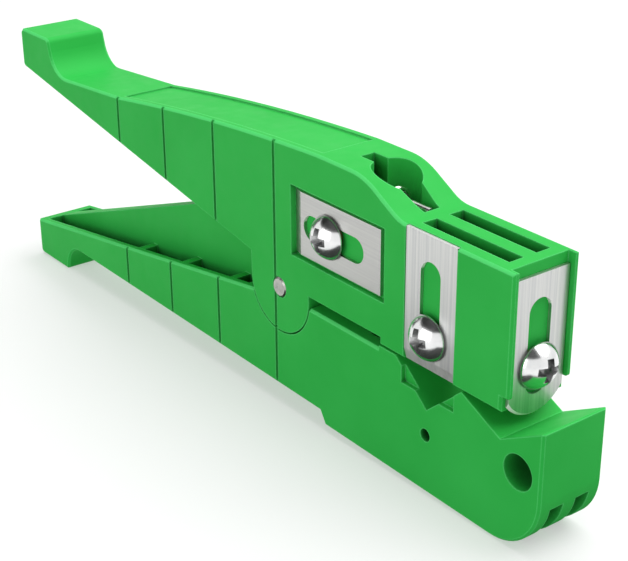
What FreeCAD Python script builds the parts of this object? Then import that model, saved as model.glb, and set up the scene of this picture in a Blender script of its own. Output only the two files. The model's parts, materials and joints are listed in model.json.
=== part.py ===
import FreeCAD, Part
import math
import os
import re

import Sketcher

# A squeeze-to-open cable slitter, in millimetres.
# Sizes are counted from the pivot: X runs forward to the nose, Z up, and -Y is the blade side.

SIZES = {
    # Whole tool
    "body_width": 11.2,
    "edge_break": 0.35,
    "cut_margin": 3.0,
    # Pivot, with the upper ears outside and the lower boss between them
    "pivot_diameter": 3.2,
    "pivot_stand_out": 0.12,
    "pivot_end_bevel": 0.3,
    "running_gap": 0.04,
    "fixed_gap": 0.02,
    "ear_radius": 7.0,
    "ear_thickness": 2.6,
    "boss_radius": 6.8,
    "ear_gap": 0.25,
    "side_gap": 0.1,
    # Upper handle
    "upper_rear": 77.5,
    "upper_rear_low": 15.5,
    "thumb_pad_top": 22.5,
    "thumb_pad_length": 9.85,
    "thumb_pad_lean": 1.6,
    "thumb_pad_round": 1.0,
    "scoop_height": 16.3,
    "scoop_round": 4.8,
    "neck_height": 17.95,
    "shoulder_distance": 12.0,
    "shoulder_height": 21.7,
    "handle_crown": 500.0,
    "underside_at_ear": 3.26,
    "handle_wall": 1.9,
    "roof_wall": 1.7,
    "cavity_rear_wall": 2.6,
    "cavity_front": 2.0,
    "panel_depth": 0.3,
    "panel_border": 1.2,
    # Hump and blade box
    "hump_height": 23.1,
    "hump_rear": 9.0,
    "hump_front": 19.0,
    "hump_round": 10.5,
    "slope_foot": 26.4,
    "foot_round": 6.0,
    "box_top": 19.0,
    "box_front": 47.4,
    "blade_seat": 46.1,
    "cheek_thickness": 0.75,
    "cheek_bottom": 1.85,
    "cheek_round": 0.5,
    "upper_jaw_line": 0.25,
    "jaw_gap_top": 0.75,
    "jaw_gap_rear": 7.0,
    "jaw_gap_front": 22.7,
    "core_rib": 2.2,
    "core_slot_width": 2.4,
    "core_rear": 28.6,
    "core_front": 44.3,
    "core_floor": 8.6,
    # Lower handle
    "lower_rear": 77.05,
    "lower_rear_top": 14.15,
    "wall_top_at_pivot": 1.54,
    "trough_wall": 1.2,
    "trough_rear_wall": 1.8,
    "trough_floor": 1.6,
    "trough_front": 9.5,
    "finger_pad_bottom": 20.9,
    "finger_pad_length": 10.45,
    "finger_pad_lean": 0.6,
    "finger_pad_round": 1.0,
    "finger_scoop_round": 4.5,
    "handle_bottom": 15.75,
    "handle_fall": 0.75,
    "tongue_thickness": 2.8,
    "tongue_rear_top": 14.0,
    "tongue_front": 13.0,
    "tongue_front_top": 8.75,
    "tongue_heel": 4.5,
    "tongue_heel_height": 4.6,
    "rib_thickness": 1.2,
    "rib_first": 41.1,
    "rib_pitch": 13.8,
    # Lower jaw
    "jaw_clearance": 0.15,
    "jaw_gap_bottom": 0.85,
    "jaw_bottom": 18.9,
    "jaw_rise": 0.45,
    "jaw_step": 10.7,
    "jaw_step_lean": 1.2,
    "ring_groove_half": 6.45,
    "ring_groove_depth": 6.0,
    "slit_groove_depth": 3.87,
    "nose_top": 0.1,
    "nose_land": 0.4,
    "nose_front": 53.7,
    "nose_round": 8.6,
    "lower_core_rear": 26.8,
    "lower_core_roof": 11.5,
    "hang_hole_diameter": 5.0,
    "hang_hole_x": 49.75,
    "hang_hole_drop": 7.1,
    "drain_hole_diameter": 1.9,
    "drain_hole_x": 32.5,
    "drain_hole_drop": 9.85,
    "relief_depth": 0.75,
    "relief_drop": 4.0,
    "relief_gap": 0.35,
    # Side grooves
    "groove_width": 0.65,
    "groove_depth": 0.35,
    "groove_first": 44.4,
    "groove_pitch": 14.0,
    "groove_front": 1.0,
    # Blades
    "blade_thickness": 0.5,
    "blade_gap": 0.1,
    "blade_back_gap": 0.03,
    "plate_length": 19.15,
    "plate_width": 9.6,
    "plate_bevel": 1.6,
    "plate_edge": 0.06,
    "plate_slot_margin": 2.3,
    "slot_width": 3.8,
    "slot_length": 13.3,
    "ring_x": 32.6,
    "ring_face_depth": 0.1,
    "ring_seat_rise": 0.0,
    "slit_side_gap": 0.15,
    "slit_top": 17.4,
    "slit_low_side": 0.3,
    "slit_end_radius": 5.8,
    "slit_bevel": 0.35,
    "slit_slot_top": 14.15,
    "spare_rear": 3.0,
    "spare_low": 6.25,
    "spare_face_depth": 0.5,
    "spare_gap": 0.45,
    "spare_top_gap": 0.75,
    "spare_front_gap": 1.35,
    # Blade screws and their threaded inserts
    "screw_diameter": 3.5,
    "screw_length": 6.5,
    "head_diameter": 6.5,
    "head_height": 2.85,
    "head_bevel": 1.2,
    "ring_screw_z": 4.75,
    "slit_screw_z": 4.85,
    "spare_screw_x": 11.1,
    "insert_diameter": 5.0,
    "insert_length": 5.6,
    "insert_sink": 0.3,
    # Return spring and its two anchor pins
    "spring_x": 19.3,
    "bore_diameter": 7.0,
    "spring_wire": 0.9,
    "spring_radius": 2.2,
    "spring_turns": 12,
    "turn_steps": 10,
    "hook_steps": 6,
    "anchor_diameter": 1.2,
    "anchor_rear": 13.4,
    "anchor_front": 26.2,
    "anchor_notch_width": 2.4,
    "anchor_notch_gap": 0.25,
    "anchor_flare": 4.6,
    "anchor_flare_end": 2.6,
    "anchor_sink": 4.4,
    "lower_anchor_drop": 10.0,
    "lower_anchor_front": 24.9,
}

# Places that follow from the sizes, as expressions of them.
HALF = "(body_width / 2)"
BOSS_HALF = "(body_width / 2 - ear_thickness - side_gap)"
LOWER_JAW = "(-upper_jaw_line - jaw_clearance)"
PAD_FRONT = "(-upper_rear + thumb_pad_length)"
SCOOP_X = "(-upper_rear + thumb_pad_length + thumb_pad_lean)"
NECK_X = "(-groove_first + groove_width)"
FINGER_FRONT = "(-lower_rear + finger_pad_length)"
FINGER_TOP = "(-lower_rear + finger_pad_length + finger_pad_lean)"
SLIT_HALF = "(body_width / 2 - cheek_thickness - slit_side_gap)"
SLIT_BACK = "(blade_seat + blade_back_gap)"
SLIT_FACE = "(blade_seat + blade_back_gap + blade_thickness)"
SLIT_GROOVE_X = "(blade_seat + blade_back_gap + blade_thickness / 2)"
RING_BOTTOM = "(-upper_jaw_line + ring_seat_rise)"
RING_SEAT = "(ring_face_depth + blade_thickness + blade_back_gap)"
SPARE_SEAT = "(spare_face_depth + blade_thickness + blade_back_gap)"
SPARE_Z = "(spare_low + spare_gap + plate_width / 2)"
SPARE_FRONT = "(spare_rear + blade_gap + plate_length + spare_front_gap)"
SPARE_TOP = "(spare_low + spare_gap + plate_width + spare_top_gap)"
UPPER_ANCHOR = "(hump_height - anchor_sink)"
ANCHOR_FLOOR = f"({UPPER_ANCHOR} - anchor_diameter / 2 - fixed_gap)"
LOWER_ANCHOR_ROOF = "(-lower_anchor_drop + anchor_diameter / 2 + fixed_gap)"
HOOK_RISE = "(anchor_diameter / 2 + side_gap + spring_wire / 2 - spring_radius)"
COIL_TOP = f"({UPPER_ANCHOR} + {HOOK_RISE})"
COIL_BOTTOM = f"(-lower_anchor_drop - {HOOK_RISE})"
INSERT_BORE = "(screw_diameter + 2 * fixed_gap)"

# The stored origin is the bottom centre of the tool's box, so every piece gets this one shift.
BLADE_SIDE_REACH = "(body_width / 2 - ring_face_depth + head_height + fixed_gap)"
FAR_SIDE_REACH = "(body_width / 2 + pivot_stand_out)"
ORIGIN_SHIFT = (
    "(upper_rear - nose_front) / 2",
    f"({BLADE_SIDE_REACH} - {FAR_SIDE_REACH}) / 2",
    "finger_pad_bottom",
)

doc = FreeCAD.newDocument("CableSlitter")
sheet = doc.addObject("Spreadsheet::Sheet", "Dim")
for row, (alias, size) in enumerate(SIZES.items(), start=1):
    sheet.set(f"A{row}", alias)
    sheet.set(f"B{row}", str(size))
    sheet.setAlias(f"B{row}", alias)
doc.recompute()

WORD = re.compile(r"[a-z_]+")
subparts = []


def bound(text):
    """The expression with each size named as a cell of the sheet."""
    return WORD.sub(lambda found: f"Dim.{found[0]}" if found[0] in SIZES else found[0], text)


def number(text):
    """The present value of an expression."""
    return float(sheet.evalExpression(bound(text)))


def place(piece, turn=None, at=("0", "0", "0")):
    """Put a piece at a point counted from the pivot, moved with the stored origin."""
    if turn is not None:
        piece.Placement = FreeCAD.Placement(FreeCAD.Vector(), turn)
    for axis, shift, own in zip("xyz", ORIGIN_SHIFT, at):
        piece.setExpression(f"Placement.Base.{axis}", bound(f"{shift} + {own}"))


def new_body(label, turn=None, at=("0", "0", "0")):
    body = doc.addObject("PartDesign::Body", label)
    body.Label = label
    place(body, turn, at)
    subparts.append(body)
    return body


def sketch_on(body, name, role, lift="0"):
    """An empty sketch on one of the body's own planes, lifted along the plane's normal."""
    plane = next(item for item in body.Origin.OriginFeatures if item.Role == role)
    sketch = body.newObject("Sketcher::SketchObject", name)
    sketch.AttachmentSupport = [(plane, "")]
    sketch.MapMode = "FlatFace"
    sketch.setExpression("AttachmentOffset.Base.z", bound(lift))
    return sketch


def pin_point(sketch, edge, end, across, up):
    """Tie one point of a sketch to a pair of expressions."""
    for kind, text in (("DistanceX", across), ("DistanceY", up)):
        tie = sketch.addConstraint(Sketcher.Constraint(kind, -1, 1, edge, end, number(text)))
        sketch.setExpression(f"Constraints[{tie}]", bound(text))


def crown_arc(start, end, radius):
    """A shallow arc that bulges to the left of the way from start to end."""
    chord = end - start
    left = FreeCAD.Vector(-chord.y, chord.x, 0).normalize()
    rise = radius - math.sqrt(radius ** 2 - chord.Length ** 2 / 4)
    return Part.Arc(end, (start + end) / 2 + left * rise, start)


def add_outline(sketch, corners, crown=None, crown_radius=None):
    """A closed outline through corners given as pairs of expressions.

    Its edges are straight, but for the one that starts at the corner named as crown.
    """
    points = [FreeCAD.Vector(number(across), number(up), 0) for across, up in corners]
    count = len(points)
    edges = []
    for index, point in enumerate(points):
        following = points[(index + 1) % count]
        if index == crown:
            edge = sketch.addGeometry(crown_arc(point, following, number(crown_radius)), False)
            edges.append((edge, 2, 1))
        else:
            edge = sketch.addGeometry(Part.LineSegment(point, following), False)
            edges.append((edge, 1, 2))
    for index, (edge, start, end) in enumerate(edges):
        after, after_start, after_end = edges[(index + 1) % count]
        sketch.addConstraint(Sketcher.Constraint("Coincident", edge, end, after, after_start))
    for (edge, start, end), (across, up) in zip(edges, corners):
        pin_point(sketch, edge, start, across, up)
    if crown is not None:
        edge = edges[crown][0]
        tie = sketch.addConstraint(Sketcher.Constraint("Radius", edge, number(crown_radius)))
        sketch.setExpression(f"Constraints[{tie}]", bound(crown_radius))


def add_rectangle(sketch, low, high):
    add_outline(sketch, [low, (high[0], low[1]), high, (low[0], high[1])])


def add_circle(sketch, across, up, diameter):
    centre = FreeCAD.Vector(number(across), number(up), 0)
    ring = Part.Circle(centre, FreeCAD.Vector(0, 0, 1), number(diameter) / 2)
    edge = sketch.addGeometry(ring, False)
    pin_point(sketch, edge, 3, across, up)
    tie = sketch.addConstraint(Sketcher.Constraint("Diameter", edge, number(diameter)))
    sketch.setExpression(f"Constraints[{tie}]", bound(diameter))


def pad(body, name, sketch, length, side="Symmetric"):
    feature = body.newObject("PartDesign::Pad", name)
    feature.Profile = sketch
    feature.SideType = side
    feature.setExpression("Length", bound(length))
    doc.recompute()
    return feature


def pocket(body, name, sketch, length, side="One side", upward=False):
    """Cut a sketch out of the body, and make sure that the cut took something away."""
    before = body.Tip.Shape.Volume
    feature = body.newObject("PartDesign::Pocket", name)
    feature.Profile = sketch
    feature.SideType = side
    feature.Reversed = upward
    feature.setExpression("Length", bound(length))
    doc.recompute()
    if not 0 < feature.Shape.Volume < before:
        raise RuntimeError(f"{body.Label}: {name} cuts nothing")
    return feature


def round_edges(body, name, radius, wanted):
    """Round the edges of the body's tip that the given test picks."""
    tip = body.Tip
    edges = [f"Edge{index}" for index, edge in enumerate(tip.Shape.Edges, start=1) if wanted(edge)]
    if not edges:
        raise RuntimeError(f"{body.Label}: {name} finds no edge")
    feature = body.newObject("PartDesign::Fillet", name)
    feature.Base = (tip, edges)
    feature.setExpression("Radius", bound(radius))
    doc.recompute()
    return feature


def bevel_edges(body, name, size, wanted):
    """Cut a flat bevel along the edges of the body's tip that the given test picks."""
    tip = body.Tip
    edges = [f"Edge{index}" for index, edge in enumerate(tip.Shape.Edges, start=1) if wanted(edge)]
    if not edges:
        raise RuntimeError(f"{body.Label}: {name} finds no edge")
    feature = body.newObject("PartDesign::Chamfer", name)
    feature.Base = (tip, edges)
    feature.setExpression("Size", bound(size))
    doc.recompute()
    return feature


def cross_edge_at(*corners):
    """A test for straight edges across the tool, at the named corners of its side view."""
    spots = [(number(across), number(up)) for across, up in corners]

    def wanted(edge):
        ends = [vertex.Point for vertex in edge.Vertexes]
        if len(ends) != 2 or abs(ends[0].y - ends[1].y) < number("edge_break"):
            return False
        return any(
            all(abs(end.x - x) + abs(end.z - z) < number("fixed_gap") for end in ends) for x, z in spots
        )

    return wanted


def side_outline(edge):
    """A test for the edges of the tool's two flat sides."""
    half = number(HALF)
    box = edge.BoundBox
    return box.YLength < number("fixed_gap") and abs(abs(box.Center.y) - half) < number("fixed_gap")


def below_the_jaw_line(edge):
    """A test for side edges other than the crisp ones along the top of the lower jaw."""
    box = edge.BoundBox
    on_jaw = box.XMin > -number("fixed_gap") and box.ZMin > number("-ring_groove_depth - fixed_gap")
    return side_outline(edge) and not on_jaw


def cut_side_grooves(body):
    """Upright grooves on both sides, made by cutting narrow slots down past each side."""
    sketch = sketch_on(body, "GrooveLines", "XY_Plane")
    rear_places = [f"(-groove_first + {step} * groove_pitch)" for step in range(3)]
    for across in rear_places + ["(-groove_front)"]:
        low = f"{across} - groove_width / 2"
        high = f"{across} + groove_width / 2"
        for side in ("-1", "1"):
            inner = f"{side} * ({HALF} - groove_depth)"
            outer = f"{side} * ({HALF} + cut_margin)"
            add_rectangle(sketch, (low, inner), (high, outer))
    pocket(body, "SideGrooves", sketch, "4 * hump_height", "Symmetric")


def screw_hole(body, name, sketch, across, up):
    """The blind hole that holds a threaded insert, with room for the screw's end."""
    add_circle(sketch, across, up, "insert_diameter + 2 * fixed_gap")
    pocket(body, name, sketch, "insert_sink + insert_length + screw_diameter / 2")


# Upper body: thumb handle, hump with the spring bore, and the box that carries the blades
upper = new_body("upper_body")
outline = sketch_on(upper, "UpperOutline", "XZ_Plane")
add_outline(outline, [
    ("-upper_rear", "upper_rear_low"),
    ("-upper_rear", "thumb_pad_top"),
    (PAD_FRONT, "thumb_pad_top"),
    (SCOOP_X, "scoop_height"),
    (NECK_X, "neck_height"),
    ("hump_rear", "hump_height"),
    ("hump_front", "hump_height"),
    ("slope_foot", "box_top"),
    ("box_front", "box_top"),
    ("box_front", "cheek_bottom"),
    ("blade_seat", "cheek_bottom"),
    ("blade_seat", "-upper_jaw_line"),
    ("jaw_gap_front", "-upper_jaw_line"),
    ("jaw_gap_front", "jaw_gap_top"),
    ("0", "jaw_gap_top"),
    ("0", "underside_at_ear"),
    ("-ear_radius", "underside_at_ear"),
], 4, "handle_crown")
pad(upper, "UpperBlock", outline, "body_width")
round_edges(upper, "ThumbPadCorners", "thumb_pad_round", cross_edge_at(
    ("-upper_rear", "upper_rear_low"), ("-upper_rear", "thumb_pad_top"), (PAD_FRONT, "thumb_pad_top")))
round_edges(upper, "ThumbScoop", "scoop_round", cross_edge_at((SCOOP_X, "scoop_height")))
round_edges(upper, "HumpCrest", "hump_round", cross_edge_at(("hump_front", "hump_height")))
round_edges(upper, "HumpFoot", "foot_round", cross_edge_at(("slope_foot", "box_top")))
round_edges(upper, "CheekCorner", "cheek_round", cross_edge_at(("box_front", "cheek_bottom")))
bevel_edges(upper, "UpperSides", "edge_break", side_outline)

# Ear that turns in the lower body's socket, with crisp edges, and the web that carries it
ear = sketch_on(upper, "EarOutline", "XZ_Plane")
add_circle(ear, "0", "0", "2 * ear_radius")
pad(upper, "Ear", ear, "body_width")
web = sketch_on(upper, "EarWebOutline", "XZ_Plane")
add_rectangle(web, ("-ear_radius", "0"), ("2 * edge_break", "underside_at_ear + 2 * edge_break"))
pad(upper, "EarWeb", web, "body_width")
cut_side_grooves(upper)

# Hollow of the thumb handle, which the lower tongue swings up into
hollow = sketch_on(upper, "HollowOutline", "XZ_Plane")
add_outline(hollow, [
    ("-upper_rear + cavity_rear_wall", "0"),
    ("-upper_rear + cavity_rear_wall", "scoop_height - roof_wall + edge_break"),
    (SCOOP_X, "scoop_height - roof_wall + edge_break"),
    (NECK_X, "neck_height - roof_wall"),
    ("-shoulder_distance", "shoulder_height - roof_wall"),
    ("-ear_radius - edge_break", "shoulder_height - roof_wall"),
    ("-ear_radius - edge_break", "0"),
])
pocket(upper, "HandleHollow", hollow, "body_width - 2 * handle_wall", "Symmetric")
boss_room = sketch_on(upper, "BossRoomOutline", "XZ_Plane")
add_circle(boss_room, "0", "0", "2 * (boss_radius + ear_gap)")
pocket(upper, "BossRoom", boss_room, "body_width - 2 * ear_thickness", "Symmetric")
tongue_room = sketch_on(upper, "TongueRoomOutline", "XZ_Plane")
add_rectangle(tongue_room, ("-ear_radius - 2 * edge_break", "-ear_radius - cut_margin"),
              ("-cavity_front", "shoulder_height - roof_wall"))
pocket(upper, "TongueRoom", tongue_room, "body_width - 2 * ear_thickness", "Symmetric")

# Shallow bare panel along the top of the handle
panel = sketch_on(upper, "PanelOutline", "XZ_Plane")
add_outline(panel, [
    (NECK_X, "neck_height - panel_depth"),
    ("hump_rear", "hump_height - panel_depth"),
    ("hump_rear", "hump_height + cut_margin"),
    (NECK_X, "hump_height + cut_margin"),
], 0, "handle_crown")
pocket(upper, "Panel", panel, "body_width - 2 * panel_border", "Symmetric")

# Seats of the three blades
front_seat = sketch_on(upper, "SlitSeatOutline", "XZ_Plane")
add_rectangle(front_seat, ("blade_seat", "-cut_margin"), ("box_front + cut_margin", "box_top + cut_margin"))
pocket(upper, "SlitSeat", front_seat, "body_width - 2 * cheek_thickness", "Symmetric")
ring_seat = sketch_on(upper, "RingSeatOutline", "XZ_Plane", HALF)
add_rectangle(ring_seat, ("ring_x - plate_width / 2 - blade_gap", "-cut_margin"),
              ("ring_x + plate_width / 2 + blade_gap", "box_top + cut_margin"))
pocket(upper, "RingSeat", ring_seat, RING_SEAT)
spare_seat = sketch_on(upper, "SpareSeatOutline", "XZ_Plane", HALF)
add_rectangle(spare_seat, ("spare_rear", "spare_low"), (SPARE_FRONT, SPARE_TOP))
pocket(upper, "SpareSeat", spare_seat, SPARE_SEAT)

# Core slots in the box, the spring bore and the notches of its anchor pin
cores = sketch_on(upper, "CoreOutline", "XY_Plane", "box_top")
for side in ("-1", "1"):
    add_rectangle(cores, ("core_rear", f"{side} * core_rib / 2"),
                  ("core_front", f"{side} * (core_rib / 2 + core_slot_width)"))
pocket(upper, "Cores", cores, "box_top - core_floor")
bore = sketch_on(upper, "BoreOutline", "XY_Plane", "hump_height")
add_circle(bore, "spring_x", "0", "bore_diameter")
pocket(upper, "SpringBore", bore, "hump_height")
notch = sketch_on(upper, "NotchOutline", "XY_Plane", "hump_height")
add_outline(notch, [
    ("anchor_rear - anchor_notch_gap", "-anchor_notch_width / 2"),
    ("spring_x", "-anchor_notch_width / 2"),
    ("spring_x", "-anchor_flare / 2"),
    ("anchor_front + anchor_notch_gap", "-anchor_flare_end / 2"),
    ("anchor_front + anchor_notch_gap", "anchor_flare_end / 2"),
    ("spring_x", "anchor_flare / 2"),
    ("spring_x", "anchor_notch_width / 2"),
    ("anchor_rear - anchor_notch_gap", "anchor_notch_width / 2"),
])
pocket(upper, "AnchorNotch", notch, f"hump_height - {ANCHOR_FLOOR}")

# Holes for the blade screws' inserts and for the pivot
screw_hole(upper, "RingScrewHole", sketch_on(upper, "RingHole", "XZ_Plane", f"{HALF} - {RING_SEAT}"),
           "ring_x", "ring_screw_z")
screw_hole(upper, "SpareScrewHole", sketch_on(upper, "SpareHole", "XZ_Plane", f"{HALF} - {SPARE_SEAT}"),
           "spare_screw_x", SPARE_Z)
screw_hole(upper, "SlitScrewHole", sketch_on(upper, "SlitHole", "YZ_Plane", "blade_seat"),
           "0", "slit_screw_z")
pivot_hole = sketch_on(upper, "PivotHole", "XZ_Plane")
add_circle(pivot_hole, "0", "0", "pivot_diameter + 2 * fixed_gap")
pocket(upper, "PivotBore", pivot_hole, "2 * body_width", "Symmetric")

# Lower body: finger handle as an open trough, and the jaw with its two cable grooves
lower = new_body("lower_body")
outline = sketch_on(lower, "LowerOutline", "XZ_Plane")
add_outline(outline, [
    ("-lower_rear", "-lower_rear_top"),
    ("0", "-wall_top_at_pivot"),
    ("jaw_gap_rear", "-jaw_gap_bottom"),
    ("jaw_gap_front", "-jaw_gap_bottom"),
    ("jaw_gap_front", LOWER_JAW),
    ("ring_x - ring_groove_half", LOWER_JAW),
    ("ring_x", "-ring_groove_depth"),
    ("ring_x + ring_groove_half", LOWER_JAW),
    (SLIT_GROOVE_X, "-slit_groove_depth"),
    ("nose_front - nose_land", "-nose_top"),
    ("nose_front", "-nose_top"),
    ("nose_front", "-jaw_bottom"),
    ("jaw_step", "-jaw_bottom + jaw_rise"),
    ("jaw_step - jaw_step_lean", "-handle_bottom - handle_fall"),
    (FINGER_TOP, "-handle_bottom"),
    (FINGER_FRONT, "-finger_pad_bottom"),
    ("-lower_rear", "-finger_pad_bottom"),
])
pad(lower, "LowerBlock", outline, "body_width")
round_edges(lower, "NoseCorner", "nose_round", cross_edge_at(("nose_front", "-jaw_bottom")))
round_edges(lower, "FingerScoop", "finger_scoop_round", cross_edge_at((FINGER_TOP, "-handle_bottom")))
round_edges(lower, "FingerPadCorners", "finger_pad_round", cross_edge_at(
    (FINGER_FRONT, "-finger_pad_bottom"), ("-lower_rear", "-finger_pad_bottom")))
bevel_edges(lower, "LowerSides", "edge_break", below_the_jaw_line)

# Trough between the handle's side walls, with a deeper cell inside the finger pad
trough = sketch_on(lower, "TroughOutline", "XZ_Plane")
add_outline(trough, [
    ("-lower_rear + trough_rear_wall", "cut_margin"),
    ("-lower_rear + trough_rear_wall", "-finger_pad_bottom + trough_floor"),
    (f"{FINGER_FRONT} - trough_wall", "-finger_pad_bottom + trough_floor"),
    (f"{FINGER_TOP} - trough_wall", "-handle_bottom + trough_floor"),
    ("-trough_front", "-handle_bottom + trough_floor"),
    ("-trough_front", "cut_margin"),
])
pocket(lower, "Trough", trough, "body_width - 2 * trough_wall", "Symmetric")
ribs = sketch_on(lower, "RibOutlines", "XZ_Plane")
WALL_SLOPE = "((lower_rear_top - wall_top_at_pivot) / lower_rear)"
for step in range(3):
    rib_front = f"(-rib_first + {step} * rib_pitch)"
    rib_top = f"-wall_top_at_pivot + ({rib_front} - rib_thickness) * {WALL_SLOPE}"
    add_rectangle(ribs, (f"{rib_front} - rib_thickness", "-handle_bottom + trough_floor - edge_break"),
                  (rib_front, rib_top))
pad(lower, "TroughRibs", ribs, "body_width - 2 * trough_wall + 2 * edge_break")

# Round sockets for the upper ears, then the boss and the tongue between them
for name, lift, inward in (("NearSocket", HALF, False), ("FarSocket", f"-{HALF}", True)):
    socket = sketch_on(lower, f"{name}Outline", "XZ_Plane", lift)
    add_circle(socket, "0", "0", "2 * (ear_radius + ear_gap)")
    pocket(lower, name, socket, f"{HALF} - {BOSS_HALF}", "One side", inward)
boss = sketch_on(lower, "BossOutline", "XZ_Plane")
add_circle(boss, "0", "0", "2 * boss_radius")
pad(lower, "Boss", boss, f"2 * {BOSS_HALF}")
tongue = sketch_on(lower, "TongueOutline", "XZ_Plane")
add_outline(tongue, [
    ("-lower_rear + trough_rear_wall - edge_break", "-tongue_rear_top"),
    ("-tongue_front", "tongue_front_top"),
    ("-tongue_heel", "tongue_heel_height"),
    ("0", "0"),
    ("-trough_front + edge_break", "-handle_bottom + trough_floor - edge_break"),
    (f"{FINGER_TOP} - trough_wall", "-handle_bottom + trough_floor - edge_break"),
    (f"{FINGER_FRONT} - trough_wall", "-finger_pad_bottom + trough_floor - edge_break"),
    ("-lower_rear + trough_rear_wall - edge_break", "-finger_pad_bottom + trough_floor - edge_break"),
])
pad(lower, "Tongue", tongue, "tongue_thickness")
round_edges(lower, "TongueCorner", "finger_pad_round", cross_edge_at(("-tongue_front", "tongue_front_top")))

# Holes, spring bore and anchor notch, core slots and blade relief of the jaw
for name, across, drop, diameter in (
        ("HangHole", "hang_hole_x", "-hang_hole_drop", "hang_hole_diameter"),
        ("DrainHole", "drain_hole_x", "-drain_hole_drop", "drain_hole_diameter"),
        ("PivotBore", "0", "0", "pivot_diameter + 2 * running_gap")):
    hole = sketch_on(lower, f"{name}Outline", "XZ_Plane")
    add_circle(hole, across, drop, diameter)
    pocket(lower, name, hole, "2 * body_width", "Symmetric")
relief = sketch_on(lower, "ReliefOutline", "XZ_Plane", HALF)
add_rectangle(relief, ("ring_x - plate_width / 2 - relief_gap", "-relief_drop"),
              ("ring_x + plate_width / 2 + relief_gap", "cut_margin"))
pocket(lower, "BladeRelief", relief, "relief_depth")
bore = sketch_on(lower, "BoreOutline", "XY_Plane", "-jaw_bottom")
add_circle(bore, "spring_x", "0", "bore_diameter")
pocket(lower, "SpringBore", bore, "jaw_bottom", "One side", True)
notch = sketch_on(lower, "NotchOutline", "XY_Plane", "-jaw_bottom")
add_rectangle(notch, ("anchor_rear - anchor_notch_gap", "-anchor_notch_width / 2"),
              ("lower_anchor_front + anchor_notch_gap", "anchor_notch_width / 2"))
pocket(lower, "AnchorNotch", notch, f"jaw_bottom + {LOWER_ANCHOR_ROOF}", "One side", True)
cores = sketch_on(lower, "CoreOutline", "XY_Plane", "-jaw_bottom")
for side in ("-1", "1"):
    add_rectangle(cores, ("lower_core_rear", f"{side} * core_rib / 2"),
                  ("nose_front + cut_margin", f"{side} * (core_rib / 2 + core_slot_width)"))
pocket(lower, "Cores", cores, "jaw_bottom - lower_core_roof", "One side", True)
cut_side_grooves(lower)

# Pivot pin through both ears and the boss
pivot = new_body("pivot_pin")
circle = sketch_on(pivot, "PinOutline", "XZ_Plane")
add_circle(circle, "0", "0", "pivot_diameter")
pad(pivot, "Pin", circle, "body_width + 2 * pivot_stand_out")
bevel_edges(pivot, "PinEnds", "pivot_end_bevel", lambda edge: len(edge.Vertexes) == 1)


def plate_blade(label, turn, at):
    """A flat slotted blade lying in the side plane, with its bevelled edge at the bottom."""
    blade = new_body(label, turn, at)
    plate = sketch_on(blade, "PlateOutline", "XZ_Plane")
    add_rectangle(plate, ("-plate_width / 2", "0"), ("plate_width / 2", "plate_length"))
    pad(blade, "Plate", plate, "blade_thickness", "One side")
    low = "(plate_slot_margin + slot_width / 2)"
    high = "(plate_slot_margin + slot_length - slot_width / 2)"
    cut_slot(blade, "XZ_Plane", "0", "blade_thickness", low, high)
    bevel = sketch_on(blade, "BevelOutline", "YZ_Plane")
    add_outline(bevel, [
        ("-plate_edge", "0"),
        ("-blade_thickness", "plate_bevel"),
        ("-2 * blade_thickness", "0"),
    ])
    pocket(blade, "Bevel", bevel, "2 * plate_width", "Symmetric")


def cut_slot(blade, role, lift, depth, low, high):
    """A slot with round ends: its straight part, then the two ends."""
    straight = sketch_on(blade, "SlotSides", role, lift)
    add_rectangle(straight, ("-slot_width / 2", low), ("slot_width / 2", high))
    pocket(blade, "SlotMiddle", straight, f"2 * {depth}", "Symmetric")
    ends = sketch_on(blade, "SlotEnds", role, lift)
    add_circle(ends, "0", low, "slot_width")
    add_circle(ends, "0", high, "slot_width")
    pocket(blade, "SlotRounds", ends, f"2 * {depth}", "Symmetric")


# Ring blade on the near side of the box, and its spare lying in the window of the hump
RING_BACK = f"(-{HALF} + ring_face_depth + blade_thickness)"
SPARE_BACK = f"(-{HALF} + spare_face_depth + blade_thickness)"
plate_blade("ring_blade", None, ("ring_x", RING_BACK, RING_BOTTOM))
ON_ITS_SIDE = FreeCAD.Rotation(FreeCAD.Vector(0, 1, 0), 90)
plate_blade("spare_blade", ON_ITS_SIDE, ("spare_rear + blade_gap", SPARE_BACK, SPARE_Z))

# Slitting blade between the front cheeks, with a round cutting end below the box
slit = new_body("slitting_blade", None, (SLIT_BACK, "0", "0"))
plate = sketch_on(slit, "SlitOutline", "YZ_Plane")
add_outline(plate, [
    (SLIT_HALF, "slit_low_side"),
    (f"-{SLIT_HALF}", "slit_low_side"),
    (f"-{SLIT_HALF}", "slit_top"),
    (SLIT_HALF, "slit_top"),
], 0, "slit_end_radius")
pad(slit, "Plate", plate, "blade_thickness", "One side")
cut_slot(slit, "YZ_Plane", "0", "blade_thickness",
         "(slit_slot_top - slot_length + slot_width / 2)", "(slit_slot_top - slot_width / 2)")
close = number("fixed_gap")
face_x = number("blade_thickness")
edge_top = number("slit_low_side")
bevel_edges(slit, "CuttingBevel", "slit_bevel", lambda edge: (
    edge.BoundBox.XLength < close and abs(edge.BoundBox.Center.x - face_x) < close
    and edge.BoundBox.ZMax < edge_top + close))


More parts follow.
